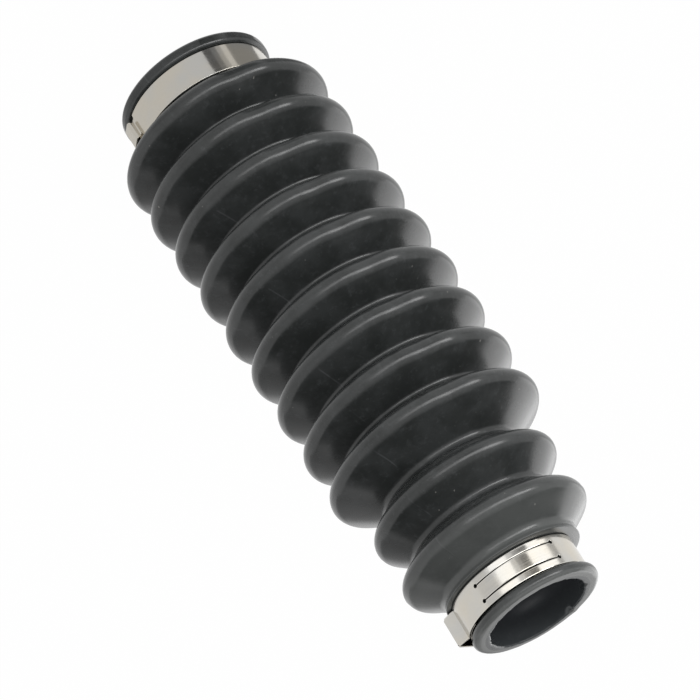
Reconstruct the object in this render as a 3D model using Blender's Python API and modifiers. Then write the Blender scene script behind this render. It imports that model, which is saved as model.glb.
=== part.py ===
"""A rubber fork gaiter: one moulded bellows, and a folded strip clamp round each of its collars.

It stands on its large end, with its axis on +Z and its origin in the middle of that end.
The ears of the clamps are placed by their angle from -Y, turning towards +X.
"""

import math

import bmesh
import bpy
from mathutils import Vector

# The rubber, in metres
WALL = 0.0020
LARGE_CREST_RADIUS = 0.0360
LARGE_CREST_COUNT = 9
PITCH = 0.01595
LARGE_CREST_ARC = 0.0036
LARGE_VALLEY_RADIUS = 0.0266
LARGE_VALLEY_ARC = 0.0011
LARGE_VALLEY_LEAN = 0.0005
SMALL_CREST_RADIUS = 0.0311
SMALL_CREST_ARC = 0.0035
SMALL_VALLEY_RADIUS = 0.0233
SMALL_VALLEY_ARC = 0.0018
ROOT_ARC = 0.0015
LAST_LARGE_FALL = 0.01095
SMALL_RISE = 0.0078
SMALL_FALL = 0.0092
LARGE_ROOT_GAP = 0.0005
LARGE_RISE = 0.00855
BEAD_RADIUS = 0.0229
BEAD_ARC = 0.0007
BEAD_HEIGHT = 0.0007
BEAD_ROOT_ARC = 0.0006
BEAD_ROOT_DROP = 0.0084
BEAD_ROOT_TO_BEAD = 0.0014
BEAD_TO_GROOVE = 0.0012

# The ends of the rubber
LARGE_LIP_RADIUS = 0.0265
LARGE_LIP_THICKNESS = 0.0045
LARGE_COLLAR_RADIUS = 0.0242
LARGE_BORE_RADIUS = 0.0213
SMALL_LIP_RADIUS = 0.0213
SMALL_LIP_THICKNESS = 0.0035
SMALL_COLLAR_RADIUS = 0.0189
SMALL_BORE_RADIUS = 0.0160
LIP_FILLET = 0.0016

# The clamps
BAND_WIDTH = 0.0100
BAND_THICKNESS = 0.0005
BAND_SIDE_CLEARANCE = 0.0003
SEAT_GAP = 0.0003
LAYER_GAP = 0.0002
TAIL_ANGLE = 24.0
JOIN_ANGLE = 10.0
LAP_ANGLE = 28.0
EAR_BEND = 0.0007
LARGE_SLACK = 0.0
LARGE_EAR_ANGLE = 59.0
LARGE_EAR_LEAN = 0.0
LARGE_EAR_HEIGHT = 0.0022
LARGE_EAR_FLAT = 0.0052
LARGE_EAR_FALL = 0.0012
LARGE_EAR_INSET = 0.0015
LARGE_EAR_ROUNDING = 0.0012
SMALL_SLACK = 0.0009
SMALL_EAR_ANGLE = 79.0
SMALL_EAR_LEAN = 0.0029
SMALL_EAR_HEIGHT = 0.0039
SMALL_EAR_FALL = 0.0068

# The lanced strip in the small clamp
SLIT_START_ANGLE = -46.0
SLIT_END_ANGLE = 30.5
SLIT_WIDTH = 0.0004
SLIT_SPACING = 0.0053
SLIT_HOLE_RADIUS = 0.0006
STRIP_BOW = 0.0006

# How finely the round forms are divided
TURN_STEPS = 28
CREST_STEPS = 4
FINE_STEPS = 2
BAND_STEP = 8.0
BEND_STEPS = 2
HOLE_SIDES = 10

GROOVE_WIDTH = BAND_WIDTH + 2 * BAND_SIDE_CLEARANCE
LARGE_GROOVE = LARGE_LIP_THICKNESS
LARGE_ROOT = LARGE_GROOVE + GROOVE_WIDTH + LARGE_ROOT_GAP
FIRST_CREST = LARGE_ROOT + LARGE_RISE
LAST_LARGE_CREST = FIRST_CREST + (LARGE_CREST_COUNT - 1) * PITCH
FIRST_SMALL_CREST = LAST_LARGE_CREST + LAST_LARGE_FALL + SMALL_RISE
LAST_SMALL_CREST = FIRST_SMALL_CREST + SMALL_FALL + SMALL_RISE
BEAD_ROOT = LAST_SMALL_CREST + BEAD_ROOT_DROP
BEAD = BEAD_ROOT + BEAD_ROOT_TO_BEAD
SMALL_GROOVE = BEAD + BEAD_TO_GROOVE
SMALL_LIP = SMALL_GROOVE + GROOVE_WIDTH
LENGTH = SMALL_LIP + SMALL_LIP_THICKNESS


def clear_scene():
    for old in list(bpy.data.objects):
        bpy.data.objects.remove(old, do_unlink=True)


def collection(name):
    made = bpy.data.collections.new(name)
    bpy.context.scene.collection.children.link(made)
    return made


def material(name, colour, roughness, metallic):
    made = bpy.data.materials.new(name)
    made.use_nodes = True
    shader = made.node_tree.nodes["Principled BSDF"]
    shader.inputs["Base Color"].default_value = (*colour, 1.0)
    shader.inputs["Roughness"].default_value = roughness
    shader.inputs["Metallic"].default_value = metallic
    made.diffuse_color = (*colour, 1.0)
    return made


def mesh_object(name, mesh, finish, group):
    made = bpy.data.objects.new(name, mesh)
    if finish:
        made.data.materials.append(finish)
    group.objects.link(made)
    return made


def crest(z, radius, arc):
    """A fold's rounded top: height and radius of the arc's centre, its signed radius."""
    return z, radius - arc, arc


def valley(z, radius, arc):
    return z, radius + arc, -arc


def fold_arcs():
    """Every arc of the outer wall between the two grooves, from the large end up."""
    arcs = [valley(LARGE_ROOT, LARGE_COLLAR_RADIUS, ROOT_ARC)]
    for index in range(LARGE_CREST_COUNT):
        z = FIRST_CREST + index * PITCH
        arcs.append(crest(z, LARGE_CREST_RADIUS, LARGE_CREST_ARC))
        if index < LARGE_CREST_COUNT - 1:
            arcs.append(valley(z + PITCH / 2 + LARGE_VALLEY_LEAN, LARGE_VALLEY_RADIUS, LARGE_VALLEY_ARC))
    arcs.append(valley(LAST_LARGE_CREST + LAST_LARGE_FALL, SMALL_VALLEY_RADIUS, SMALL_VALLEY_ARC))
    arcs.append(crest(FIRST_SMALL_CREST, SMALL_CREST_RADIUS, SMALL_CREST_ARC))
    arcs.append(valley(FIRST_SMALL_CREST + SMALL_FALL, SMALL_VALLEY_RADIUS, SMALL_VALLEY_ARC))
    arcs.append(crest(LAST_SMALL_CREST, SMALL_CREST_RADIUS, SMALL_CREST_ARC))
    arcs.append(valley(BEAD_ROOT, BEAD_RADIUS - BEAD_HEIGHT, BEAD_ROOT_ARC))
    arcs.append(crest(BEAD, BEAD_RADIUS, BEAD_ARC))
    return arcs


def tangent_normal(first, second):
    """Angle from the radius, towards +Z, of the normal that a crest and its valley share."""
    dz = second[0] - first[0]
    dr = second[1] - first[1]
    spread = math.acos((abs(first[2]) + abs(second[2])) / math.hypot(dz, dr))
    aim = math.atan2(dz, dr)
    angle = aim - spread if first[2] > 0 else aim + math.pi + spread
    return math.remainder(angle, 2 * math.pi)


def wave(arcs, offset, first_angle, last_angle):
    """Points (radius, z) of the arcs and the flanks that join them, moved inwards by offset."""
    joints = [first_angle]
    for first, second in zip(arcs, arcs[1:]):
        joints.append(tangent_normal(first, second))
    joints.append(last_angle)
    points = []
    for arc, start, end in zip(arcs, joints, joints[1:]):
        z, radius, turn = arc
        steps = CREST_STEPS if turn > 0 and not offset else FINE_STEPS
        for step in range(steps + 1):
            angle = start + (end - start) * step / steps
            reach = turn - offset
            points.append((radius + reach * math.cos(angle), z + reach * math.sin(angle)))
    return points


def corner(radius, z, fillet, start, end):
    """A rounded corner about a centre set back by the fillet; angles from +X towards +Z."""
    points = []
    for step in range(FINE_STEPS + 1):
        angle = math.radians(start + (end - start) * step / FINE_STEPS)
        points.append((radius + fillet * math.cos(angle), z + fillet * math.sin(angle)))
    return points


def bellows_profile():
    """The closed section at +X, down the outer side and back up the inner one."""
    arcs = fold_arcs()
    outer = [(LARGE_COLLAR_RADIUS, LARGE_GROOVE)]
    outer += wave(arcs, 0.0, 0.0, math.radians(80.0))
    outer.append((SMALL_COLLAR_RADIUS, SMALL_GROOVE))
    outer.append((SMALL_COLLAR_RADIUS, SMALL_LIP))
    outer += corner(SMALL_LIP_RADIUS - LIP_FILLET, SMALL_LIP + LIP_FILLET, LIP_FILLET, -90.0, 0.0)
    outer += corner(SMALL_LIP_RADIUS - LIP_FILLET, LENGTH - LIP_FILLET, LIP_FILLET, 0.0, 90.0)
    lip = corner(LARGE_LIP_RADIUS - LIP_FILLET, LIP_FILLET, LIP_FILLET, -90.0, 0.0)
    lip += corner(LARGE_LIP_RADIUS - LIP_FILLET, LARGE_LIP_THICKNESS - LIP_FILLET, LIP_FILLET, 0.0, 90.0)
    outer = lip + outer
    inner = [(LARGE_BORE_RADIUS, 0.0), (LARGE_BORE_RADIUS, LARGE_GROOVE + GROOVE_WIDTH)]
    inner += wave(arcs[:-1], WALL, 0.0, 0.0)
    inner.append((SMALL_BORE_RADIUS, SMALL_GROOVE))
    inner.append((SMALL_BORE_RADIUS, LENGTH))
    return list(reversed(outer)) + inner


def make_bellows(finish, group):
    mesh = bpy.data.meshes.new("bellows")
    points = bellows_profile()
    edges = [(index, (index + 1) % len(points)) for index in range(len(points))]
    mesh.from_pydata([(radius, 0.0, z) for radius, z in points], edges, [])
    made = mesh_object("bellows", mesh, finish, group)
    turn = made.modifiers.new("turn", "SCREW")
    turn.axis = "Z"
    turn.angle = 2 * math.pi
    turn.steps = TURN_STEPS
    turn.render_steps = TURN_STEPS
    turn.use_merge_vertices = True
    turn.merge_threshold = 0.00001
    turn.use_smooth_shade = True
    return made


def polar(angle, radius):
    """A point at an angle in degrees from -Y, towards +X."""
    turn = math.radians(angle)
    return Vector((radius * math.sin(turn), -radius * math.cos(turn)))


def smooth(share):
    return share * share * (3 - 2 * share)


def rounded(before, corner, after, radius):
    """Points round a bend of the strip's middle line, between the points before and after it."""
    first = (before - corner).normalized()
    second = (after - corner).normalized()
    half = first.angle(second) / 2
    outwards = -(first + second).normalized()
    across = (second - first).normalized()
    centre = corner - outwards * radius / math.sin(half)
    reach = math.pi / 2 - half
    turns = [reach * (2 * step / BEND_STEPS - 1) for step in range(BEND_STEPS + 1)]
    return [centre + (outwards * math.cos(turn) + across * math.sin(turn)) * radius for turn in turns]


def ear_line(ring_radius, over, ear):
    """The ear's middle line, from its foot on the ring to its heel on the lapped end, and the heel's angle."""
    top = ring_radius + ear["height"]
    peak = ear["angle"] + math.degrees(ear["lean"] / top)
    brow = peak + math.degrees(ear["flat"] / top)
    heel = brow + math.degrees(ear["fall"] / top)
    corners = [polar(ear["angle"], ring_radius), polar(peak, top)]
    if brow > peak:
        corners.append(polar(brow, top))
    corners.append(polar(heel, over))
    before_foot = polar(ear["angle"] - BAND_STEP, ring_radius)
    after_heel = polar(heel + BAND_STEP, over)
    line = []
    for before, corner, after in zip([before_foot] + corners, corners, corners[1:] + [after_heel]):
        line += rounded(before, corner, after, EAR_BEND)
    return line, heel


def band_columns(ring_radius, ear, marks):
    """The strip's middle line as (angle, point, inset), from its hidden tail, once round, to its lapped end.

    The inset narrows the strip on the ear, most at the ear's foot and heel.
    """
    layer = BAND_THICKNESS + LAYER_GAP
    under = ring_radius - layer
    over = ring_radius + layer
    line, heel = ear_line(ring_radius, over, ear)
    columns = []

    def sweep(start, end, start_radius, end_radius):
        count = max(1, math.ceil((end - start) / BAND_STEP))
        stops = [start + (end - start) * step / count for step in range(count + 1)]
        stops = [stop for stop in stops if all(abs(stop - mark) > BAND_STEP / 3 for mark in marks)]
        for stop in sorted(stops + [mark for mark in marks if start < mark < end]):
            share = smooth((stop - start) / (end - start))
            columns.append((stop, polar(stop, start_radius + (end_radius - start_radius) * share), 0.0))

    step_back = math.degrees(2 * EAR_BEND / ring_radius)
    turned = ear["angle"] + 360.0
    turned_heel = heel + 360.0
    sweep(ear["angle"] - TAIL_ANGLE, heel, under, under)
    columns.pop()
    sweep(heel, heel + JOIN_ANGLE, under, ring_radius)
    columns.pop()
    sweep(heel + JOIN_ANGLE, turned - step_back, ring_radius, ring_radius)
    for index, spot in enumerate(line):
        side = 2 * index / (len(line) - 1) - 1
        columns.append((turned, spot, ear["inset"] + ear["rounding"] * side * side))
    sweep(turned_heel + step_back, turned_heel + LAP_ANGLE, over, over)
    return columns


def make_band(name, z, collar, slack, ear, slits, finish, group):
    """One strip as an open ribbon with a thickness, lanced between two slits where it has them."""
    reach = BAND_THICKNESS + LAYER_GAP + slack
    ring_radius = collar + SEAT_GAP + reach / 2 + BAND_THICKNESS / 2
    shift = polar(ear["angle"], reach / 2)
    marks = (SLIT_START_ANGLE + 360.0, SLIT_END_ANGLE + 360.0) if slits else ()
    middle = BAND_WIDTH / 2
    near = (SLIT_SPACING - SLIT_WIDTH) / 2
    far = (SLIT_SPACING + SLIT_WIDTH) / 2
    shape = bmesh.new()
    previous = None
    for angle, spot, inset in band_columns(ring_radius, ear, marks):
        lanced = slits and marks[0] - 0.01 <= angle <= marks[1] + 0.01
        heights = [inset, BAND_WIDTH - inset]
        if lanced:
            heights = [0.0, middle - far, middle - near, middle + near, middle + far, BAND_WIDTH]
        column = []
        for index, height in enumerate(heights):
            place = Vector(spot)
            if lanced and index in (2, 3):
                share = (angle - marks[0]) / (marks[1] - marks[0])
                place += place.normalized() * STRIP_BOW * math.sin(math.pi * share) ** 2
            place += shift
            column.append(shape.verts.new((place.x, place.y, z + height)))
        if previous:
            if len(previous) == len(column) == 6:
                for low in (0, 2, 4):
                    shape.faces.new((previous[low], column[low], column[low + 1], previous[low + 1]))
            else:
                shape.faces.new(previous[:1] + column + previous[:0:-1])
        previous = column
    mesh = bpy.data.meshes.new(name)
    bmesh.ops.recalc_face_normals(shape, faces=shape.faces[:])
    shape.to_mesh(mesh)
    shape.free()
    made = mesh_object(name, mesh, finish, group)
    thicken = made.modifiers.new("thickness", "SOLIDIFY")
    thicken.thickness = BAND_THICKNESS
    thicken.offset = 0.0
    thicken.use_even_offset = True
    return made, shift, ring_radius


def round_slit_ends(band, z, shift, ring_radius, group):
    """A small round hole at each end of each slit."""
    shape = bmesh.new()
    for angle in (SLIT_START_ANGLE, SLIT_END_ANGLE):
        for side in (-1, 1):
            out = polar(angle, 1.0)
            out = Vector((out.x, out.y, 0.0))
            spot = out * ring_radius + Vector((shift.x, shift.y, z + BAND_WIDTH / 2 + side * SLIT_SPACING / 2))
            drill = bmesh.ops.create_cone(shape, cap_ends=True, segments=HOLE_SIDES, radius1=SLIT_HOLE_RADIUS,
                                          radius2=SLIT_HOLE_RADIUS, depth=8 * BAND_THICKNESS)
            turn = out.to_track_quat("Z", "Y").to_matrix()
            bmesh.ops.rotate(shape, cent=(0, 0, 0), matrix=turn, verts=drill["verts"])
            bmesh.ops.translate(shape, vec=spot, verts=drill["verts"])
    mesh = bpy.data.meshes.new("slit_ends")
    shape.to_mesh(mesh)
    shape.free()
    cutter = mesh_object("slit_ends", mesh, None, group)
    cutter.hide_render = True
    cutter.display_type = "WIRE"
    cut = band.modifiers.new("slit ends", "BOOLEAN")
    cut.operation = "DIFFERENCE"
    cut.solver = "EXACT"
    cut.object = cutter


def main():
    clear_scene()
    parts = collection("fork_gaiter")
    cutters = collection("cutters")
    rubber = material("black rubber", (0.016, 0.017, 0.018), 0.42, 0.0)
    steel = material("stainless strip", (0.62, 0.60, 0.57), 0.24, 1.0)
    low_ear = dict(angle=LARGE_EAR_ANGLE, lean=LARGE_EAR_LEAN, height=LARGE_EAR_HEIGHT, flat=LARGE_EAR_FLAT,
                   fall=LARGE_EAR_FALL, inset=LARGE_EAR_INSET, rounding=LARGE_EAR_ROUNDING)
    tall_ear = dict(angle=SMALL_EAR_ANGLE, lean=SMALL_EAR_LEAN, height=SMALL_EAR_HEIGHT, flat=0.0,
                    fall=SMALL_EAR_FALL, inset=0.0, rounding=0.0)
    make_bellows(rubber, parts)
    large_z = LARGE_GROOVE + BAND_SIDE_CLEARANCE
    make_band("large_end_clamp", large_z, LARGE_COLLAR_RADIUS, LARGE_SLACK, low_ear, False, steel, parts)
    small_z = SMALL_GROOVE + BAND_SIDE_CLEARANCE
    band, shift, ring_radius = make_band("small_end_clamp", small_z, SMALL_COLLAR_RADIUS, SMALL_SLACK, tall_ear,
                                         True, steel, parts)
    round_slit_ends(band, small_z, shift, ring_radius, cutters)


main()
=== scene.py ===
"""Looks of the fork gaiter: its rubber, two stainless strip clamps, a pale studio and the photo's camera."""

import math

import bmesh
import bpy
from mathutils import Matrix, Vector, noise


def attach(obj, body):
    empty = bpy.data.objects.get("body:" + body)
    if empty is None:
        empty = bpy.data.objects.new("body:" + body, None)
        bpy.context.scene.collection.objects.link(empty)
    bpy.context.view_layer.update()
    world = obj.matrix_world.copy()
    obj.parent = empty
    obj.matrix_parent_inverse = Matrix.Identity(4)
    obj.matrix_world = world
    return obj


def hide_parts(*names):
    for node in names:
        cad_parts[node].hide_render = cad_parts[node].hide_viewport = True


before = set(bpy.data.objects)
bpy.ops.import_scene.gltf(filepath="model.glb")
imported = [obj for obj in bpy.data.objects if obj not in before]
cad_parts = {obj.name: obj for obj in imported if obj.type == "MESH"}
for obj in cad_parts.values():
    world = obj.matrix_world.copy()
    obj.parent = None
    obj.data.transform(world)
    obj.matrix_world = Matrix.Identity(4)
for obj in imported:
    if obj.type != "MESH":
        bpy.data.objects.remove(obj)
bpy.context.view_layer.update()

MM = 0.001

# The rubber's section: the solid model's sizes, apart from the bead, which is a filleted step here
WALL = 2.0 * MM
LARGE_CREST_RADIUS = 36.0 * MM
LARGE_CREST_COUNT = 9
PITCH = 15.95 * MM
LARGE_CREST_ARC = 3.6 * MM
LARGE_VALLEY_RADIUS = 26.6 * MM
LARGE_VALLEY_ARC = 1.1 * MM
LARGE_VALLEY_LEAN = 0.5 * MM
SMALL_CREST_RADIUS = 31.1 * MM
SMALL_CREST_ARC = 3.5 * MM
SMALL_VALLEY_RADIUS = 23.3 * MM
SMALL_VALLEY_ARC = 1.8 * MM
ROOT_ARC = 1.5 * MM
LAST_LARGE_FALL = 10.95 * MM
SMALL_RISE = 7.8 * MM
SMALL_FALL = 9.2 * MM
LARGE_ROOT_GAP = 0.5 * MM
LARGE_RISE = 8.55 * MM
BEAD_RADIUS = 22.9 * MM
BEAD_ARC = 0.3 * MM
BEAD_HEIGHT = 0.4 * MM
BEAD_ROOT_ARC = 2.6 * MM
BEAD_ROOT_DROP = 9.0 * MM
BEAD_ROOT_TO_BEAD = 1.6 * MM
BEAD_TO_GROOVE = 0.4 * MM
BEAD_END_ANGLE = math.radians(80.0)
LARGE_LIP_RADIUS = 26.5 * MM
LARGE_LIP_THICKNESS = 4.5 * MM
LARGE_COLLAR_RADIUS = 24.2 * MM
LARGE_BORE_RADIUS = 21.3 * MM
SMALL_LIP_RADIUS = 21.3 * MM
SMALL_LIP_THICKNESS = 3.5 * MM
SMALL_COLLAR_RADIUS = 18.9 * MM
SMALL_BORE_RADIUS = 16.0 * MM
LIP_FILLET = 1.6 * MM
BORE_FILLET = 0.5 * MM

# The clamps: the solid model's sizes, with rounder ears
BAND_WIDTH = 10.0 * MM
BAND_THICKNESS = 0.5 * MM
BAND_SIDE_CLEARANCE = 0.3 * MM
BAND_EDGE = 0.1 * MM
SEAT_GAP = 0.3 * MM
LAYER_GAP = 0.2 * MM
TAIL_ANGLE = 24.0
JOIN_ANGLE = 10.0
LAP_ANGLE = 28.0
EAR_BEND = 0.7 * MM
PEAK_SHARE = 0.35
LARGE_SLACK = 0.0
LARGE_EAR = {"angle": 59.0, "lean": 0.0, "height": 2.2 * MM, "flat": 5.2 * MM, "fall": 1.2 * MM,
             "inset": 1.5 * MM, "rounding": 1.8 * MM, "peak": 0.0}
SMALL_SLACK = 0.9 * MM
SMALL_EAR = {"angle": 79.0, "lean": 2.9 * MM, "height": 3.9 * MM, "flat": 0.0, "fall": 6.8 * MM,
             "inset": 0.0, "rounding": 0.0, "peak": 0.9 * MM}
SLIT_ANGLES = (-46.0, 30.5)
SLIT_WIDTH = 0.32 * MM
SLIT_SPACING = 5.3 * MM
SLIT_HOLE_RADIUS = 0.6 * MM
STRIP_BOW = 0.6 * MM

GROOVE_WIDTH = BAND_WIDTH + 2 * BAND_SIDE_CLEARANCE
LARGE_GROOVE = LARGE_LIP_THICKNESS
LARGE_ROOT = LARGE_GROOVE + GROOVE_WIDTH + LARGE_ROOT_GAP
FIRST_CREST = LARGE_ROOT + LARGE_RISE
LAST_LARGE_CREST = FIRST_CREST + (LARGE_CREST_COUNT - 1) * PITCH
FIRST_SMALL_CREST = LAST_LARGE_CREST + LAST_LARGE_FALL + SMALL_RISE
LAST_SMALL_CREST = FIRST_SMALL_CREST + SMALL_FALL + SMALL_RISE
BEAD_ROOT = LAST_SMALL_CREST + BEAD_ROOT_DROP
BEAD = BEAD_ROOT + BEAD_ROOT_TO_BEAD
SMALL_GROOVE = BEAD + BEAD_TO_GROOVE
SMALL_LIP = SMALL_GROOVE + GROOVE_WIDTH
LENGTH = SMALL_LIP + SMALL_LIP_THICKNESS

# How finely the round forms are divided
TURN_STEPS = 180
ARC_STEP = math.radians(12.0)
INNER_ARC_STEP = math.radians(26.0)
FLANK_STEP = 3.0 * MM
INNER_FLANK_STEP = 6.0 * MM
LIP_STEP = 0.9 * MM
LEAST_STEP = 0.02 * MM
BAND_STEP = 2.0
BEND_STEPS = 8
HOLE_STEP = 0.2
HOLE_STEPS = 10
SHARP_ANGLE = math.radians(50.0)

# The slight bend that the soft rubber has taken, towards -X and towards the camera
SIDE_BEND = 1.31 * MM
SIDE_SKEW = 0.58 * MM
SIDE_FLATTENING = 0.68 * MM
FRONT_BEND = 1.37 * MM
FRONT_SKEW = 2.2 * MM

# The folds' valleys lie a little off the axis, and each large crest is uneven at the front, towards -X: the
# angle, half width and height of each low swelling or dent
VALLEY_SHIFT = 0.35 * MM
UNEVEN = ((-5.0, 11.0, 0.15 * MM), (-22.0, 8.5, -0.7 * MM), (-37.0, 8.0, 0.2 * MM))

# The small lip's wear: trimmed outside at the back, and a bore that is opened and torn at its edge, with
# notches by their angle, half width and depth
LIP_TRIM = 1.5 * MM
LIP_TRIM_ANGLE = 155.0
BORE_OPENING = 1.4 * MM
BORE_OPENING_DEPTH = 13.0 * MM
TEAR_DEPTH = 1.5 * MM
TEAR_SIZE = 0.45 * MM
TEAR_DENSITY = 7.0
TEAR_FINE_SHARE = 0.6
TEAR_FINE_DENSITY = 3.1
NOTCHES = ((-151.0, 7.0, 0.9 * MM), (-97.0, 6.0, 0.7 * MM), (64.0, 9.0, 0.5 * MM), (38.0, 5.0, 0.4 * MM))

# The camera, placed from the photo's outline
CAMERA_PLACE = Vector((3.95, -793.86, 474.21)) * MM
CAMERA_TILT = 24.728
CAMERA_ROLL = 146.875
CAMERA_LENS = 146.28

# The rubber's and the steel's colours and marks
RUBBER_DARK = (0.020, 0.022, 0.0215)
RUBBER_PALE = (0.032, 0.0345, 0.0345)
RUBBER_SCUFFED = (0.11, 0.115, 0.12)
# Painted sheen: paler rubber from the last small crest towards the small end, in place of a reflection there
RUBBER_PAINTED_SHEEN = (0.068, 0.072, 0.070)
# Painted highlight: paler rubber on the small lip's rounded rim and end face
RUBBER_END_HIGHLIGHT = (0.120, 0.125, 0.122)
RUBBER_BORE_RIM = (0.045, 0.050, 0.053)
RUBBER_BORE = (0.056, 0.060, 0.066)
DUST = (0.30, 0.29, 0.27)
# Heights over which the painted sheen rises, and where it weakens on the small lip's side
PAINTED_SHEEN_FROM = LAST_SMALL_CREST - 3.0 * MM
PAINTED_SHEEN_TO = LAST_SMALL_CREST + 4.0 * MM
LIP_SIDE_FROM = SMALL_LIP - 2.0 * MM
# Heights over which the painted highlight on the small lip's rim rises
END_HIGHLIGHT_FROM = LENGTH - 1.3 * MM
END_HIGHLIGHT_TO = LENGTH - 0.2 * MM
BORE_FROM = LENGTH - 11.0 * MM
BORE_REACH = SMALL_COLLAR_RADIUS - 1.0 * MM
PARTING_ANGLE = 25.0
PARTING_WIDTH = 0.8
PARTING_WANDER = 6.0
PARTING_ENDS = ((24.0 * MM, 26.0 * MM), (35.3 * MM, 34.0 * MM))
MARK_SPACING = 0.8 * MM
STEEL_COOL = (0.60, 0.59, 0.56)
STEEL_WARM = (0.645, 0.605, 0.53)

# The gloss of rubber and steel, how fine their noises are, and how high their relief is
RUBBER_ROUGHNESS = (0.21, 0.245)
RUBBER_SPECULAR = 0.45
STEEL_ROUGHNESS = (0.13, 0.20)
WAVES_SCALE = 48.0
CLOUD_SCALE = 95.0
MOTTLE_SCALE = 420.0
DUST_SCALE = 560.0
GRAIN_SCALE = 1500.0
CAST_SCALE = 75.0
DENTS_SCALE = 160.0
DRAWN_ALONG = 0.02
DRAWN_ACROSS = 5000.0
WAVES_HEIGHT = 0.5 * MM
GRAIN_HEIGHT = 0.02 * MM
MARK_HEIGHT = 0.006 * MM
PARTING_HEIGHT = 0.06 * MM
DENTS_HEIGHT = 0.1 * MM
DRAWN_HEIGHT = 0.01 * MM

# The lights round the object: angle from -Y towards +X, height, power in watts
KEY_LIGHTS = ((0.0, 0.28, 1.9), (-28.0, 0.28, 3.4), (-56.0, 0.32, 5.4))
KEY_DISTANCE = 1.3
KEY_SIZE = (0.60, 0.45)

# What only reflections see. A dark ceiling pales towards the front, in bands by their distance from its front
# edge and their shade. Behind the object are two walls, a grey one towards +X and a bright one towards -X,
# each with its angle, distance, width, lowest and highest point and shade.
CEILING = ((-1.6, 0.60), (0.0, -0.35), (1.6, -0.35), (1.6, 0.60), (-1.6, 1.20))
CEILING_HEIGHT = 1.1
CEILING_SHADE = 0.05
CEILING_BANDS = ((0.08, 0.20), (0.18, 0.38), (0.31, 0.55), (0.48, 0.70), (0.72, 0.83), (1.05, 0.93))
WALLS = ((150.0, 1.5, 1.6, 0.25, 1.2, 0.48), (-150.0, 1.7, 1.6, 0.0, 2.2, 2.0))

# Cards on the floor that the strips mirror: the first and last angle on the strip and the shade
LARGE_STRIP_CARDS = ((70.0, -19.0, 0.72), (-19.0, -25.0, 0.13), (-25.0, -29.0, 0.22),
                     (-29.0, -33.0, 0.45), (-33.0, -38.0, 0.70), (-38.0, -64.0, 0.29))
LARGE_STRIP_REACH = (0.003, 0.05)
SMALL_STRIP_CARDS = ((70.0, 30.0, 0.88), (30.0, 16.0, 0.72), (13.0, -4.0, 1.7), (-4.0, -10.0, 0.80),
                     (-10.0, -15.0, 0.36), (-15.0, -23.0, 0.16), (-24.0, -42.0, 1.7), (-43.0, -49.0, 0.50))
SMALL_STRIP_REACH = (0.45, 0.75)
CARD_HEIGHT = 0.3 * MM

# The floor, and the world's light, with what it gains for camera, glossy and transmission rays
FLOOR_SIZE = 6.0
FLOOR_DROP = 0.2 * MM
FLOOR_SHADE = 0.86
FLOOR_WHITENESS = 0.985
WORLD_LIGHT = 0.65
WORLD_GAIN = 0.35


def polar(angle, radius):
    """A point at an angle in degrees from -Y, towards +X."""
    turn = math.radians(angle)
    return Vector((radius * math.sin(turn), -radius * math.cos(turn)))


def smooth(share):
    """A share held between 0 and 1, with soft ends."""
    share = min(1.0, max(0.0, share))
    return share * share * (3 - 2 * share)


def bent(x, y, z):
    """The place of a point once the rubber has taken its bend."""
    share = min(1.0, max(0.0, z / LENGTH))
    belly = 4 * share * (1 - share)
    lean = 2 * share - 1
    side = belly * (SIDE_BEND + SIDE_SKEW * lean - SIDE_FLATTENING * lean * lean)
    front = belly * (FRONT_BEND - FRONT_SKEW * lean)
    return x - side, y - front, z


# The rubber's section


def crest(z, radius, arc):
    """A crest's arc as (z, radius of its centre, arc), for the radius of its top."""
    return z, radius - arc, arc


def valley(z, radius, arc):
    """A valley's arc in the same form, with the arc negative."""
    return z, radius + arc, -arc


def fold_arcs():
    """The arcs of the outer side, from the root at the large collar to the bead."""
    arcs = [valley(LARGE_ROOT, LARGE_COLLAR_RADIUS, ROOT_ARC)]
    for index in range(LARGE_CREST_COUNT):
        z = FIRST_CREST + index * PITCH
        arcs.append(crest(z, LARGE_CREST_RADIUS, LARGE_CREST_ARC))
        if index < LARGE_CREST_COUNT - 1:
            arcs.append(valley(z + PITCH / 2 + LARGE_VALLEY_LEAN, LARGE_VALLEY_RADIUS, LARGE_VALLEY_ARC))
    arcs.append(valley(LAST_LARGE_CREST + LAST_LARGE_FALL, SMALL_VALLEY_RADIUS, SMALL_VALLEY_ARC))
    arcs.append(crest(FIRST_SMALL_CREST, SMALL_CREST_RADIUS, SMALL_CREST_ARC))
    arcs.append(valley(FIRST_SMALL_CREST + SMALL_FALL, SMALL_VALLEY_RADIUS, SMALL_VALLEY_ARC))
    arcs.append(crest(LAST_SMALL_CREST, SMALL_CREST_RADIUS, SMALL_CREST_ARC))
    arcs.append(valley(BEAD_ROOT, BEAD_RADIUS - BEAD_HEIGHT, BEAD_ROOT_ARC))
    arcs.append(crest(BEAD, BEAD_RADIUS, BEAD_ARC))
    return arcs


def tangent_normal(first, second):
    """Angle from the radius, towards +Z, of the normal that a crest and its valley share."""
    dz = second[0] - first[0]
    dr = second[1] - first[1]
    spread = math.acos((abs(first[2]) + abs(second[2])) / math.hypot(dz, dr))
    aim = math.atan2(dz, dr)
    angle = aim - spread if first[2] > 0 else aim + math.pi + spread
    return math.remainder(angle, 2 * math.pi)


def round_arc(centre_r, centre_z, reach, start, end, step_angle=ARC_STEP):
    """Points (radius, z) round a centre; angles from +X towards +Z, in radians."""
    steps = max(2, math.ceil(abs(end - start) / step_angle))
    turns = [start + (end - start) * step / steps for step in range(steps + 1)]
    return [(centre_r + reach * math.cos(turn), centre_z + reach * math.sin(turn)) for turn in turns]


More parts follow.
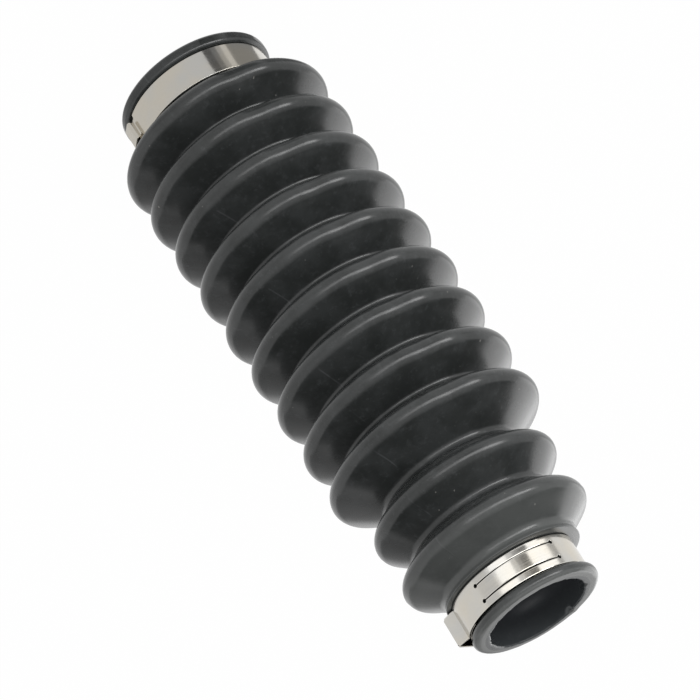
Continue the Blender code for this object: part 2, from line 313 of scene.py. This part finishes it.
def wave(arcs, offset, first_angle, last_angle, step_angle):
    """Points (radius, z) of the arcs and the flanks that join them, moved inwards by offset."""
    joints = [first_angle]
    joints += [tangent_normal(first, second) for first, second in zip(arcs, arcs[1:])]
    joints.append(last_angle)
    points = []
    for (z, radius, turn), start, end in zip(arcs, joints, joints[1:]):
        points += round_arc(radius, z, turn - offset, start, end, step_angle)
    return points


def bellows_profile():
    """The closed section, up the outer side and down the inner one."""
    arcs = fold_arcs()
    quarter = math.pi / 2
    large_centre = LARGE_LIP_RADIUS - LIP_FILLET
    small_centre = SMALL_LIP_RADIUS - LIP_FILLET
    outer = round_arc(large_centre, LIP_FILLET, LIP_FILLET, -quarter, 0.0)
    outer += round_arc(large_centre, LARGE_GROOVE - LIP_FILLET, LIP_FILLET, 0.0, quarter)
    outer.append((LARGE_COLLAR_RADIUS, LARGE_GROOVE))
    outer += wave(arcs, 0.0, 0.0, BEAD_END_ANGLE, ARC_STEP)
    outer.append((SMALL_COLLAR_RADIUS, SMALL_GROOVE))
    outer.append((SMALL_COLLAR_RADIUS, SMALL_LIP))
    outer += round_arc(small_centre, SMALL_LIP + LIP_FILLET, LIP_FILLET, -quarter, 0.0)
    outer += round_arc(small_centre, LENGTH - LIP_FILLET, LIP_FILLET, 0.0, quarter)
    inner = [outer[0], (LARGE_BORE_RADIUS, 0.0), (LARGE_BORE_RADIUS, LARGE_GROOVE + GROOVE_WIDTH)]
    inner += wave(arcs[:-1], WALL, 0.0, 0.0, INNER_ARC_STEP)
    inner.append((SMALL_BORE_RADIUS, SMALL_GROOVE))
    edge = round_arc(SMALL_BORE_RADIUS + BORE_FILLET, LENGTH - BORE_FILLET, BORE_FILLET, quarter, 2 * quarter)
    inner.append(edge[-1])
    return divided(outer + edge, FLANK_STEP) + divided(inner[::-1], INNER_FLANK_STEP)


def divided(points, step):
    """The open outline without its last point, with long runs divided, more finely at the small lip."""
    made = []
    for (r0, z0), (r1, z1) in zip(points, points[1:]):
        longest = LIP_STEP if min(z0, z1) >= SMALL_GROOVE else step
        count = max(1, round(math.hypot(r1 - r0, z1 - z0) / longest))
        for index in range(count):
            share = index / count
            spot = (r0 + (r1 - r0) * share, z0 + (z1 - z0) * share)
            if not made or math.dist(made[-1], spot) > LEAST_STEP:
                made.append(spot)
    return made


def valley_shift(radius, z):
    """How far a point of the folds is moved towards +X, most in the valleys."""
    if not FIRST_CREST < z < LAST_SMALL_CREST:
        return 0.0
    return VALLEY_SHIFT * smooth((LARGE_CREST_RADIUS - radius) / (LARGE_CREST_RADIUS - LARGE_VALLEY_RADIUS))


def uneven_radius(angle, radius, z):
    """The radius of a point of the large folds, with the crests a little uneven at the front."""
    if not LARGE_ROOT < z < LAST_LARGE_CREST + LAST_LARGE_FALL:
        return radius
    share = smooth((radius - LARGE_VALLEY_RADIUS) / (LARGE_CREST_RADIUS - LARGE_VALLEY_RADIUS))
    swell = 0.0
    for place, width, height in UNEVEN:
        swell += height * math.exp(-(math.remainder(angle - place, 360.0) / width) ** 2)
    return radius + swell * share


def worn_radius(angle, radius, z):
    """The radius of a point of the small lip, once its rim is trimmed and its bore's edge is torn."""
    if z < SMALL_LIP and radius > SMALL_BORE_RADIUS + BORE_FILLET or z < LENGTH - BORE_OPENING_DEPTH:
        return radius
    opened_radius = SMALL_BORE_RADIUS + BORE_OPENING
    face_share = smooth((radius - opened_radius) / (SMALL_LIP_RADIUS - opened_radius))
    trim = max(0.0, math.cos(math.radians(angle - LIP_TRIM_ANGLE))) ** 2 * LIP_TRIM
    oval = math.cos(math.radians(angle)) ** 2 * BORE_OPENING
    around_bore = polar(angle, TEAR_DENSITY).to_3d()
    fine = TEAR_FINE_SHARE * noise.noise(around_bore * TEAR_FINE_DENSITY)
    tear = TEAR_SIZE * (noise.noise(around_bore) + fine)
    for place, width, depth in NOTCHES:
        away = abs(math.remainder(angle - place, 360.0)) / width
        tear += depth * smooth(1 - away)
    oval *= smooth(2 - 2 * (LENGTH - z) / BORE_OPENING_DEPTH)
    tear *= smooth(1 - (LENGTH - z) / TEAR_DEPTH)
    return radius - trim * face_share + (oval + tear) * (1 - face_share)


def bellows_mesh():
    """The section turned about +Z, with its wear, its unevenness and its bend."""
    points = bellows_profile()
    count = len(points)
    places = []
    for turn in range(TURN_STEPS):
        angle = 360.0 * turn / TURN_STEPS
        for radius, z in points:
            x, y = polar(angle, uneven_radius(angle, worn_radius(angle, radius, z), z))
            places.append(bent(x + valley_shift(radius, z), y, z))
    faces = []
    for turn in range(TURN_STEPS):
        here, there = turn * count, (turn + 1) % TURN_STEPS * count
        for index in range(count):
            after = (index + 1) % count
            faces.append((here + index, there + index, there + after, here + after))
    mesh = bpy.data.meshes.new("rubber_bellows")
    mesh.from_pydata(places, [], faces)
    mesh.shade_smooth()
    mesh.set_sharp_from_angle(angle=SHARP_ANGLE)
    return mesh


# The clamps


def rounded(before, corner, after, radius):
    """Points round a bend of the strip's middle line, between the points before and after it."""
    first = (before - corner).normalized()
    second = (after - corner).normalized()
    half = first.angle(second) / 2
    outwards = -(first + second).normalized()
    across = (second - first).normalized()
    centre = corner - outwards * radius / math.sin(half)
    reach = math.pi / 2 - half
    turns = [reach * (2 * step / BEND_STEPS - 1) for step in range(BEND_STEPS + 1)]
    return [centre + (outwards * math.cos(turn) + across * math.sin(turn)) * radius for turn in turns]


def ear_line(ring_radius, over, ear):
    """The ear's middle line, from its foot on the ring to its heel on the lap, and the heel's angle."""
    top = ring_radius + ear["height"]
    peak = ear["angle"] + math.degrees(ear["lean"] / top)
    brow = peak + math.degrees(ear["flat"] / top)
    heel = brow + math.degrees(ear["fall"] / top)
    corners = [polar(ear["angle"], ring_radius), polar(peak, top)]
    if brow > peak:
        corners.append(polar(brow, top))
    corners.append(polar(heel, over))
    before_foot = polar(ear["angle"] - BAND_STEP, ring_radius)
    after_heel = polar(heel + BAND_STEP, over)
    line = []
    for before, corner, after in zip([before_foot] + corners, corners, corners[1:] + [after_heel]):
        line += rounded(before, corner, after, EAR_BEND)
    return line, heel


def strip_line(ring_radius, ear, slits):
    """The strip's middle line as (angle, point, inset), from its hidden tail, once round, to its lap."""
    layer = BAND_THICKNESS + LAYER_GAP
    under = ring_radius - layer
    over = ring_radius + layer
    line, heel = ear_line(ring_radius, over, ear)
    line_start, line_heel = ear["angle"] + 360.0, heel + 360.0
    columns = []

    def sweep(start, end, start_radius, end_radius):
        count = max(1, math.ceil((end - start) / BAND_STEP))
        stops = {start + (end - start) * step / count for step in range(count + 1)}
        for slit in slits:
            stops |= {slit + HOLE_STEP * step for step in range(-HOLE_STEPS, HOLE_STEPS + 1)}
        for stop in sorted(stop for stop in stops if start <= stop <= end):
            share = smooth((stop - start) / (end - start))
            columns.append((stop, polar(stop, start_radius + (end_radius - start_radius) * share), 0.0))

    step_back = math.degrees(2 * EAR_BEND / ring_radius)
    sweep(ear["angle"] - TAIL_ANGLE, heel, under, under)
    columns.pop()
    sweep(heel, heel + JOIN_ANGLE, under, ring_radius)
    columns.pop()
    sweep(heel + JOIN_ANGLE, line_start - step_back, ring_radius, ring_radius)
    for index, spot in enumerate(line):
        side = 2 * index / (len(line) - 1) - 1
        peak = ear["peak"] * max(0.0, 1 - (side / PEAK_SHARE) ** 2)
        columns.append((line_start, spot, ear["inset"] + ear["rounding"] * side * side + peak))
    sweep(line_heel + step_back, line_heel + LAP_ANGLE, over, over)
    return columns


def strip_section(low, high):
    """The strip's rounded section as (outwards, height), between two heights."""
    half = BAND_THICKNESS / 2 - BAND_EDGE
    level = 2 * BAND_EDGE
    points = []
    top, bottom = high - BAND_EDGE, low + BAND_EDGE
    corners = ((half, top, 0), (-half, top, 1), (-half, bottom, 2), (half, bottom, 3))
    for out, height, quarter in corners:
        turns = [math.radians(90 * quarter + 45 * step) for step in range(3)]
        arc = [(out + BAND_EDGE * math.cos(turn), height + BAND_EDGE * math.sin(turn)) for turn in turns]
        inwards = -level if height > low + (high - low) / 2 else level
        flat = (out + math.copysign(BAND_EDGE, out), height + inwards)
        points += [flat] + arc if quarter % 2 == 0 else arc + [flat]
    return points


def add_strip(shape, columns, z):
    """One closed stretch of strip; a column is (point, outwards, low, high)."""
    rings = []
    for point, outwards, low, high in columns:
        ring = []
        for out, height in strip_section(low, high):
            x, y = point + outwards * out
            ring.append(shape.verts.new(bent(x, y, z + height)))
        rings.append(ring)
    for here, there in zip(rings, rings[1:]):
        for index in range(len(here)):
            after = (index + 1) % len(here)
            shape.faces.new((here[index], here[after], there[after], there[index]))
    shape.faces.new(rings[0])
    shape.faces.new(rings[-1])


def half_gap(angle, slits, ring_radius):
    """Half the width of a slit, which widens to a round hole at each end."""
    gap = SLIT_WIDTH / 2 if slits[0] < angle < slits[1] else 0.0
    for slit in slits:
        away = math.radians(angle - slit) * ring_radius
        if abs(away) < SLIT_HOLE_RADIUS:
            gap = max(gap, math.sqrt(SLIT_HOLE_RADIUS ** 2 - away ** 2))
    return gap


def clamp_mesh(name, z, collar, slack, ear, lanced):
    """One strip, once round its collar, with its three lanes between the slits where it is lanced."""
    reach = BAND_THICKNESS + LAYER_GAP + slack
    ring_radius = collar + SEAT_GAP + reach / 2 + BAND_THICKNESS / 2
    shift = polar(ear["angle"], reach / 2)
    slits = tuple(angle + 360.0 for angle in SLIT_ANGLES) if lanced else ()
    line = strip_line(ring_radius, ear, slits)
    columns = []
    for index, (angle, point, inset) in enumerate(line):
        along = line[min(index + 1, len(line) - 1)][1] - line[max(index - 1, 0)][1]
        outwards = Vector((along.y, -along.x)).normalized()
        columns.append((angle, point + shift, outwards, inset))
    shape = bmesh.new()
    if not lanced:
        add_strip(shape, [(point, out, inset, BAND_WIDTH - inset) for _, point, out, inset in columns], z)
    else:
        hole = math.degrees(SLIT_HOLE_RADIUS / ring_radius)
        start, end = slits[0] - hole, slits[1] + hole
        for stretch in ([column for column in columns if column[0] <= start + HOLE_STEP],
                        [column for column in columns if column[0] >= end - HOLE_STEP]):
            add_strip(shape, [(point, out, inset, BAND_WIDTH - inset) for _, point, out, inset in stretch], z)
        lanes = [[], [], []]
        for angle, point, out, _ in columns:
            if start <= angle <= end:
                gap = half_gap(angle, slits, ring_radius)
                low, high = (BAND_WIDTH - SLIT_SPACING) / 2, (BAND_WIDTH + SLIT_SPACING) / 2
                share = min(1.0, max(0.0, (angle - slits[0]) / (slits[1] - slits[0])))
                lifted = point + out * STRIP_BOW * math.sin(math.pi * share) ** 2
                lanes[0].append((point, out, 0.0, low - gap))
                lanes[1].append((lifted, out, low + gap, high - gap))
                lanes[2].append((point, out, high + gap, BAND_WIDTH))
        for lane in lanes:
            add_strip(shape, lane, z)
    bmesh.ops.recalc_face_normals(shape, faces=shape.faces[:])
    mesh = bpy.data.meshes.new(name)
    shape.to_mesh(mesh)
    shape.free()
    mesh.shade_smooth()
    mesh.set_sharp_from_angle(angle=SHARP_ANGLE)
    return mesh


def piece(name, mesh, finish, replaced):
    """A visible piece that stands for one of the frame's nodes."""
    made = bpy.data.objects.new(name, mesh)
    bpy.context.scene.collection.objects.link(made)
    made.data.materials.append(finish)
    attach(made, "root")
    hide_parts(replaced)


# Materials


class Nodes:
    """Short calls for building a material's nodes."""

    def __init__(self, name):
        self.material = bpy.data.materials.new(name)
        self.material.use_nodes = True
        self.tree = self.material.node_tree
        self.shader = self.tree.nodes["Principled BSDF"]

    def add(self, kind, **inputs):
        node = self.tree.nodes.new(kind)
        for key, value in inputs.items():
            self.put(node.inputs[key], value)
        return node

    def put(self, socket, value):
        """Link a socket's source to it, or set its value."""
        if isinstance(value, bpy.types.NodeSocket):
            self.tree.links.new(value, socket)
        else:
            socket.default_value = value

    def math(self, operation, first, second=0.0):
        node = self.tree.nodes.new("ShaderNodeMath")
        node.operation = operation
        for socket, value in zip(node.inputs, (first, second)):
            self.put(socket, value)
        return node.outputs[0]

    def ramp(self, value, low, high, to_low=0.0, to_high=1.0):
        """A soft step between two values, held outside them."""
        node = self.add("ShaderNodeMapRange", Value=value)
        node.interpolation_type = "SMOOTHSTEP"
        for key, number in (("From Min", low), ("From Max", high), ("To Min", to_low), ("To Max", to_high)):
            node.inputs[key].default_value = number
        return node.outputs[0]

    def noise(self, place, scale, detail, roughness):
        node = self.add("ShaderNodeTexNoise", Vector=place, Scale=scale, Detail=detail, Roughness=roughness)
        return node.outputs["Fac"]

    def mix(self, factor, first, second):
        node = self.tree.nodes.new("ShaderNodeMix")
        node.data_type = "RGBA"
        self.put(node.inputs["Factor"], factor)
        for socket, value in ((node.inputs["A"], first), (node.inputs["B"], second)):
            self.put(socket, value if isinstance(value, bpy.types.NodeSocket) else (*value, 1.0))
        return node.outputs["Result"]

    def bump(self, height, strength, distance, normal=None):
        node = self.add("ShaderNodeBump", Height=height, Strength=strength, Distance=distance)
        if normal:
            self.put(node.inputs["Normal"], normal)
        return node.outputs[0]


def around(nodes, place):
    """A shaded point's angle from -Y towards +X in degrees, distance from the axis, and height."""
    split = nodes.add("ShaderNodeSeparateXYZ", Vector=place)
    x, y, z = split.outputs
    angle = nodes.math("DEGREES", nodes.math("ARCTAN2", x, nodes.math("MULTIPLY", y, -1.0)))
    radius = nodes.math("SQRT", nodes.math("ADD", nodes.math("POWER", x, 2.0), nodes.math("POWER", y, 2.0)))
    return angle, radius, z


def rubber_material():
    """Black moulded rubber: cloudy, wavy and mottled, with marks, a little dust, a painted sheen towards the
    small end and a painted highlight on the small lip's rim.
    """
    nodes = Nodes("black rubber")
    place = nodes.add("ShaderNodeTexCoord").outputs["Object"]
    angle, radius, height = around(nodes, place)
    waves = nodes.noise(place, WAVES_SCALE, 1.0, 0.4)
    cloud = nodes.noise(place, CLOUD_SCALE, 4.0, 0.6)
    mottle = nodes.noise(place, MOTTLE_SCALE, 5.0, 0.75)
    dust = nodes.noise(place, DUST_SCALE, 1.0, 0.5)
    grain = nodes.noise(place, GRAIN_SCALE, 3.0, 0.6)
    parting = parting_line(nodes, angle, radius, waves, cloud)
    marks = nodes.math("SINE", nodes.math("MULTIPLY", radius, 2 * math.pi / MARK_SPACING))
    marks = nodes.math("MULTIPLY", marks, nodes.ramp(cloud, 0.2, 0.8))
    colour = nodes.mix(nodes.ramp(cloud, 0.36, 0.66), RUBBER_DARK, RUBBER_PALE)
    colour = nodes.mix(nodes.math("MULTIPLY", parting, 0.3), colour, RUBBER_SCUFFED)
    # Painted sheen from the last small crest towards the small end, weaker on the small lip's side
    painted_sheen = nodes.ramp(height, PAINTED_SHEEN_FROM, PAINTED_SHEEN_TO)
    painted_sheen = nodes.math("MULTIPLY", painted_sheen, nodes.ramp(cloud, 0.1, 0.6, 0.7, 1.0))
    painted_sheen = nodes.math("MULTIPLY", painted_sheen, nodes.ramp(height, LIP_SIDE_FROM, SMALL_LIP, 1.0, 0.3))
    colour = nodes.mix(painted_sheen, colour, RUBBER_PAINTED_SHEEN)
    # Painted highlight on the small lip's rounded rim and end face
    colour = nodes.mix(nodes.ramp(height, END_HIGHLIGHT_FROM, END_HIGHLIGHT_TO), colour, RUBBER_END_HIGHLIGHT)
    bore = nodes.mix(nodes.ramp(height, BORE_FROM, LENGTH), RUBBER_BORE, RUBBER_BORE_RIM)
    colour = nodes.mix(nodes.math("LESS_THAN", radius, BORE_REACH), colour, bore)
    colour = nodes.mix(nodes.ramp(mottle, 0.5, 0.8, 0.0, 0.25), colour, RUBBER_SCUFFED)
    colour = nodes.mix(nodes.ramp(dust, 0.79, 0.83, 0.0, 0.45), colour, DUST)
    nodes.put(nodes.shader.inputs["Base Color"], colour)
    nodes.put(nodes.shader.inputs["Roughness"], nodes.ramp(cloud, 0.3, 0.7, *RUBBER_ROUGHNESS))
    nodes.shader.inputs["Specular IOR Level"].default_value = RUBBER_SPECULAR
    normal = nodes.bump(waves, 1.0, WAVES_HEIGHT)
    normal = nodes.bump(grain, 0.35, GRAIN_HEIGHT, normal)
    normal = nodes.bump(marks, 0.5, MARK_HEIGHT, normal)
    normal = nodes.bump(parting, 0.6, PARTING_HEIGHT, normal)
    nodes.put(nodes.shader.inputs["Normal"], normal)
    return nodes.material


def parting_line(nodes, angle, radius, waves, cloud):
    """The mould's parting line: thin, wandering and broken, and only on the folds' flanks."""
    wander = nodes.math("MULTIPLY", nodes.math("SUBTRACT", waves, 0.5), PARTING_WANDER)
    place = nodes.math("ADD", angle, wander)
    away = nodes.math("ABSOLUTE", nodes.math("SUBTRACT", place, PARTING_ANGLE))
    line = nodes.math("MULTIPLY", nodes.ramp(away, 0.0, PARTING_WIDTH, 1.0, 0.0), nodes.ramp(cloud, 0.4, 0.6))
    for from_radius, to_radius in PARTING_ENDS:
        line = nodes.math("MULTIPLY", line, nodes.ramp(radius, from_radius, to_radius))
    return line


def steel_material():
    """Bright rolled strip: faint lengthwise drawing marks, soft dents and a warm cast that comes and goes."""
    nodes = Nodes("stainless strip")
    place = nodes.add("ShaderNodeTexCoord").outputs["Object"]
    angle, _, height = around(nodes, place)
    flat = nodes.add("ShaderNodeCombineXYZ", X=nodes.math("MULTIPLY", angle, DRAWN_ALONG), Y=0.0,
                     Z=nodes.math("MULTIPLY", height, DRAWN_ACROSS)).outputs[0]
    drawn = nodes.noise(flat, 1.0, 2.0, 0.6)
    dents = nodes.noise(place, DENTS_SCALE, 2.0, 0.5)
    cast = nodes.noise(place, CAST_SCALE, 2.0, 0.5)
    colour = nodes.mix(nodes.ramp(cast, 0.35, 0.65), STEEL_COOL, STEEL_WARM)
    nodes.put(nodes.shader.inputs["Base Color"], colour)
    nodes.put(nodes.shader.inputs["Roughness"], nodes.ramp(drawn, 0.3, 0.7, *STEEL_ROUGHNESS))
    nodes.shader.inputs["Metallic"].default_value = 1.0
    normal = nodes.bump(dents, 0.5, DENTS_HEIGHT)
    normal = nodes.bump(drawn, 0.12, DRAWN_HEIGHT, normal)
    nodes.put(nodes.shader.inputs["Normal"], normal)
    return nodes.material


# Studio


def whitened(tree, strength):
    """The strength for camera, glossy and transmission rays, and 0 for the rest."""
    path = tree.nodes.new("ShaderNodeLightPath")
    seen = path.outputs["Is Camera Ray"]
    for ray in ("Is Glossy Ray", "Is Transmission Ray"):
        either = tree.nodes.new("ShaderNodeMath")
        either.operation = "MAXIMUM"
        tree.links.new(seen, either.inputs[0])
        tree.links.new(path.outputs[ray], either.inputs[1])
        seen = either.outputs[0]
    scale = tree.nodes.new("ShaderNodeMath")
    scale.operation = "MULTIPLY"
    scale.inputs[1].default_value = strength
    tree.links.new(seen, scale.inputs[0])
    return scale.outputs[0]


def make_floor():
    """A pale floor that looks nearly white, with a trace of the object's shadow."""
    mesh = bpy.data.meshes.new("floor")
    shape = bmesh.new()
    bmesh.ops.create_grid(shape, x_segments=2, y_segments=2, size=FLOOR_SIZE)
    shape.to_mesh(mesh)
    shape.free()
    floor = bpy.data.objects.new("floor", mesh)
    bpy.context.scene.collection.objects.link(floor)
    floor.location.z = -FLOOR_DROP
    made = bpy.data.materials.new("pale floor")
    made.use_nodes = True
    tree = made.node_tree
    shader = tree.nodes["Principled BSDF"]
    shader.inputs["Base Color"].default_value = (FLOOR_SHADE, FLOOR_SHADE, FLOOR_SHADE, 1.0)
    shader.inputs["Roughness"].default_value = 0.9
    shader.inputs["Specular IOR Level"].default_value = 0.0
    glow = tree.nodes.new("ShaderNodeEmission")
    glow.inputs["Color"].default_value = (1.0, 1.0, 1.0, 1.0)
    glow.inputs["Strength"].default_value = 1.0
    blend = tree.nodes.new("ShaderNodeMixShader")
    tree.links.new(whitened(tree, FLOOR_WHITENESS), blend.inputs[0])
    tree.links.new(shader.outputs[0], blend.inputs[1])
    tree.links.new(glow.outputs[0], blend.inputs[2])
    tree.links.new(blend.outputs[0], tree.nodes["Material Output"].inputs[0])
    floor.data.materials.append(made)


def make_world():
    """An even white surrounding, which is pure white where it is seen."""
    world = bpy.data.worlds.new("studio")
    bpy.context.scene.world = world
    world.use_nodes = True
    tree = world.node_tree
    back = tree.nodes["Background"]
    back.inputs["Color"].default_value = (1.0, 1.0, 1.0, 1.0)
    total = tree.nodes.new("ShaderNodeMath")
    total.operation = "ADD"
    total.inputs[1].default_value = WORLD_LIGHT
    tree.links.new(whitened(tree, WORLD_GAIN), total.inputs[0])
    tree.links.new(total.outputs[0], back.inputs["Strength"])


def soft_light(name, place, target, size, power):
    """A rectangular light that faces its target."""
    data = bpy.data.lights.new(name, "AREA")
    data.shape = "RECTANGLE"
    data.size, data.size_y = size
    data.energy = power
    light = bpy.data.objects.new(name, data)
    bpy.context.scene.collection.objects.link(light)
    light.location = place
    light.rotation_euler = (Vector(target) - Vector(place)).to_track_quat("-Z", "Y").to_euler()


def make_lights():
    """A row of soft lights, from the camera's side round towards -X."""
    middle = (0.0, 0.0, LENGTH / 2)
    for index, (angle, height, power) in enumerate(KEY_LIGHTS):
        x, y = polar(angle, KEY_DISTANCE)
        soft_light(f"key_{index + 1}", (x, y, height), middle, KEY_SIZE, power)


def make_cards():
    """The ceiling, the walls and the strips' cards."""
    add_card("ceiling", [[(x, y, CEILING_HEIGHT) for x, y in CEILING]], CEILING_SHADE)
    front_edge = CEILING[:3]
    near = 0.0
    for index, (far, shade) in enumerate(CEILING_BANDS):
        edges = [(x, y - near, CEILING_HEIGHT) for x, y in front_edge]
        edges += [(x, y - far, CEILING_HEIGHT) for x, y in reversed(front_edge)]
        add_card(f"ceiling_band_{index + 1}", [edges], shade)
        near = far
    for index, (angle, distance, width, low, high, shade) in enumerate(WALLS):
        side = polar(angle + 90.0, width / 2)
        left, right = polar(angle, distance) - side, polar(angle, distance) + side
        corners = [(*left, low), (*right, low), (*right, high), (*left, high)]
        add_card(f"wall_{index + 1}", [corners], shade)
    strips = ((LARGE_STRIP_CARDS, LARGE_STRIP_REACH, LARGE_COLLAR_RADIUS),
              (SMALL_STRIP_CARDS, SMALL_STRIP_REACH, SMALL_COLLAR_RADIUS))
    for level, (cards, reach, radius) in enumerate(strips):
        for index, (first, last, shade) in enumerate(cards):
            add_card(f"strip_card_{level + 1}_{index + 1}", mirrored(first, last, reach, radius), shade)


def mirrored(first, last, reach, radius):
    """The faces on the floor that a strip shows between two of its angles to someone at -Y above it."""
    steps = max(1, round(abs(last - first) / BAND_STEP))
    rows = []
    for step in range(steps + 1):
        angle = first + (last - first) * step / steps
        foot = polar(angle, radius)
        rows.append([(*(foot + polar(2 * angle, far)), CARD_HEIGHT) for far in reach])
    return [[here[0], here[1], there[1], there[0]] for here, there in zip(rows, rows[1:])]


def add_card(name, faces, shade):
    """A card of one plain shade that only reflections see; each face has the same number of corners."""
    corners = [corner for face in faces for corner in face]
    mesh = bpy.data.meshes.new(name)
    count = len(faces[0])
    mesh.from_pydata(corners, [], [range(start, start + count) for start in range(0, len(corners), count)])
    card = bpy.data.objects.new(name, mesh)
    bpy.context.scene.collection.objects.link(card)
    made = bpy.data.materials.new(name)
    made.use_nodes = True
    shader = made.node_tree.nodes["Principled BSDF"]
    shader.inputs["Base Color"].default_value = (0.0, 0.0, 0.0, 1.0)
    shader.inputs["Specular IOR Level"].default_value = 0.0
    shader.inputs["Emission Color"].default_value = (1.0, 1.0, 1.0, 1.0)
    shader.inputs["Emission Strength"].default_value = shade
    card.data.materials.append(made)
    card.visible_camera = False
    card.visible_diffuse = False
    card.visible_transmission = False
    card.visible_shadow = False


def make_camera():
    """The photo's camera, rolled so that the standing part lies across the picture as the real one does."""
    data = bpy.data.cameras.new("camera")
    data.lens = CAMERA_LENS
    data.sensor_width = 36.0
    data.clip_start = 0.01
    camera = bpy.data.objects.new("camera", data)
    bpy.context.scene.collection.objects.link(camera)
    camera.location = CAMERA_PLACE
    upright = Matrix.Rotation(math.radians(90.0 - CAMERA_TILT), 3, "X")
    camera.rotation_euler = (upright @ Matrix.Rotation(math.radians(CAMERA_ROLL), 3, "Z")).to_euler()
    bpy.context.scene.camera = camera


def main():
    make_camera()
    rubber = rubber_material()
    steel = steel_material()
    piece("rubber_bellows", bellows_mesh(), rubber, "bellows")
    large_seat = LARGE_GROOVE + BAND_SIDE_CLEARANCE
    large = clamp_mesh("large_strip_clamp", large_seat, LARGE_COLLAR_RADIUS, LARGE_SLACK, LARGE_EAR, False)
    piece("large_strip_clamp", large, steel, "large_end_clamp")
    small_seat = SMALL_GROOVE + BAND_SIDE_CLEARANCE
    small = clamp_mesh("small_strip_clamp", small_seat, SMALL_COLLAR_RADIUS, SMALL_SLACK, SMALL_EAR, True)
    piece("small_strip_clamp", small, steel, "small_end_clamp")
    make_floor()
    make_world()
    make_lights()
    make_cards()
    bpy.context.scene.view_settings.view_transform = "Standard"


main()
